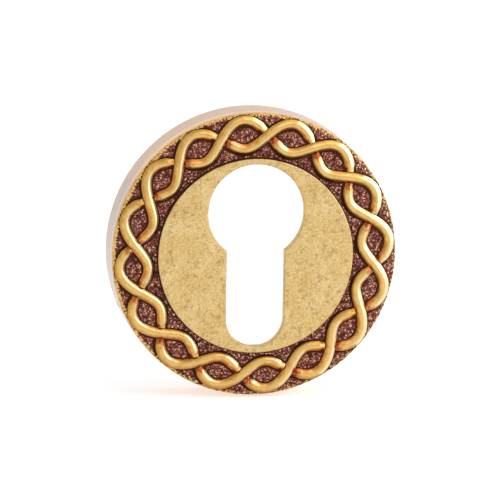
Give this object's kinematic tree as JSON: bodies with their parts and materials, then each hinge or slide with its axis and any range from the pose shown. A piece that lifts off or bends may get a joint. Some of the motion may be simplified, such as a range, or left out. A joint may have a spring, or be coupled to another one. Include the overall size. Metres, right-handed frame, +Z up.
{
  "type": "keyhole escutcheon",
  "caption": "Round clip-fitted door rose with a profile cylinder opening, a raised flat disc and an interlaced braid in relief round it.",
  "frame": {"origin": "centre of the rose on the door's face", "axes": "+Y into the door, so the decorated front faces -Y; +Z up, with the cylinder opening's slot pointing down; +X to the right seen from the front"},
  "size_m": [0.052, 0.0105, 0.052],
  "materials": {
    "cast_brass": "gold plated, bead blasted disc, polished braid, red-brown patina in the hollows",
    "moulded_nylon": "as moulded"
  },
  "bodies": {
    "root": {"rose_cover": "cast_brass", "mounting_base": "moulded_nylon"}
  },
  "joints": []
}
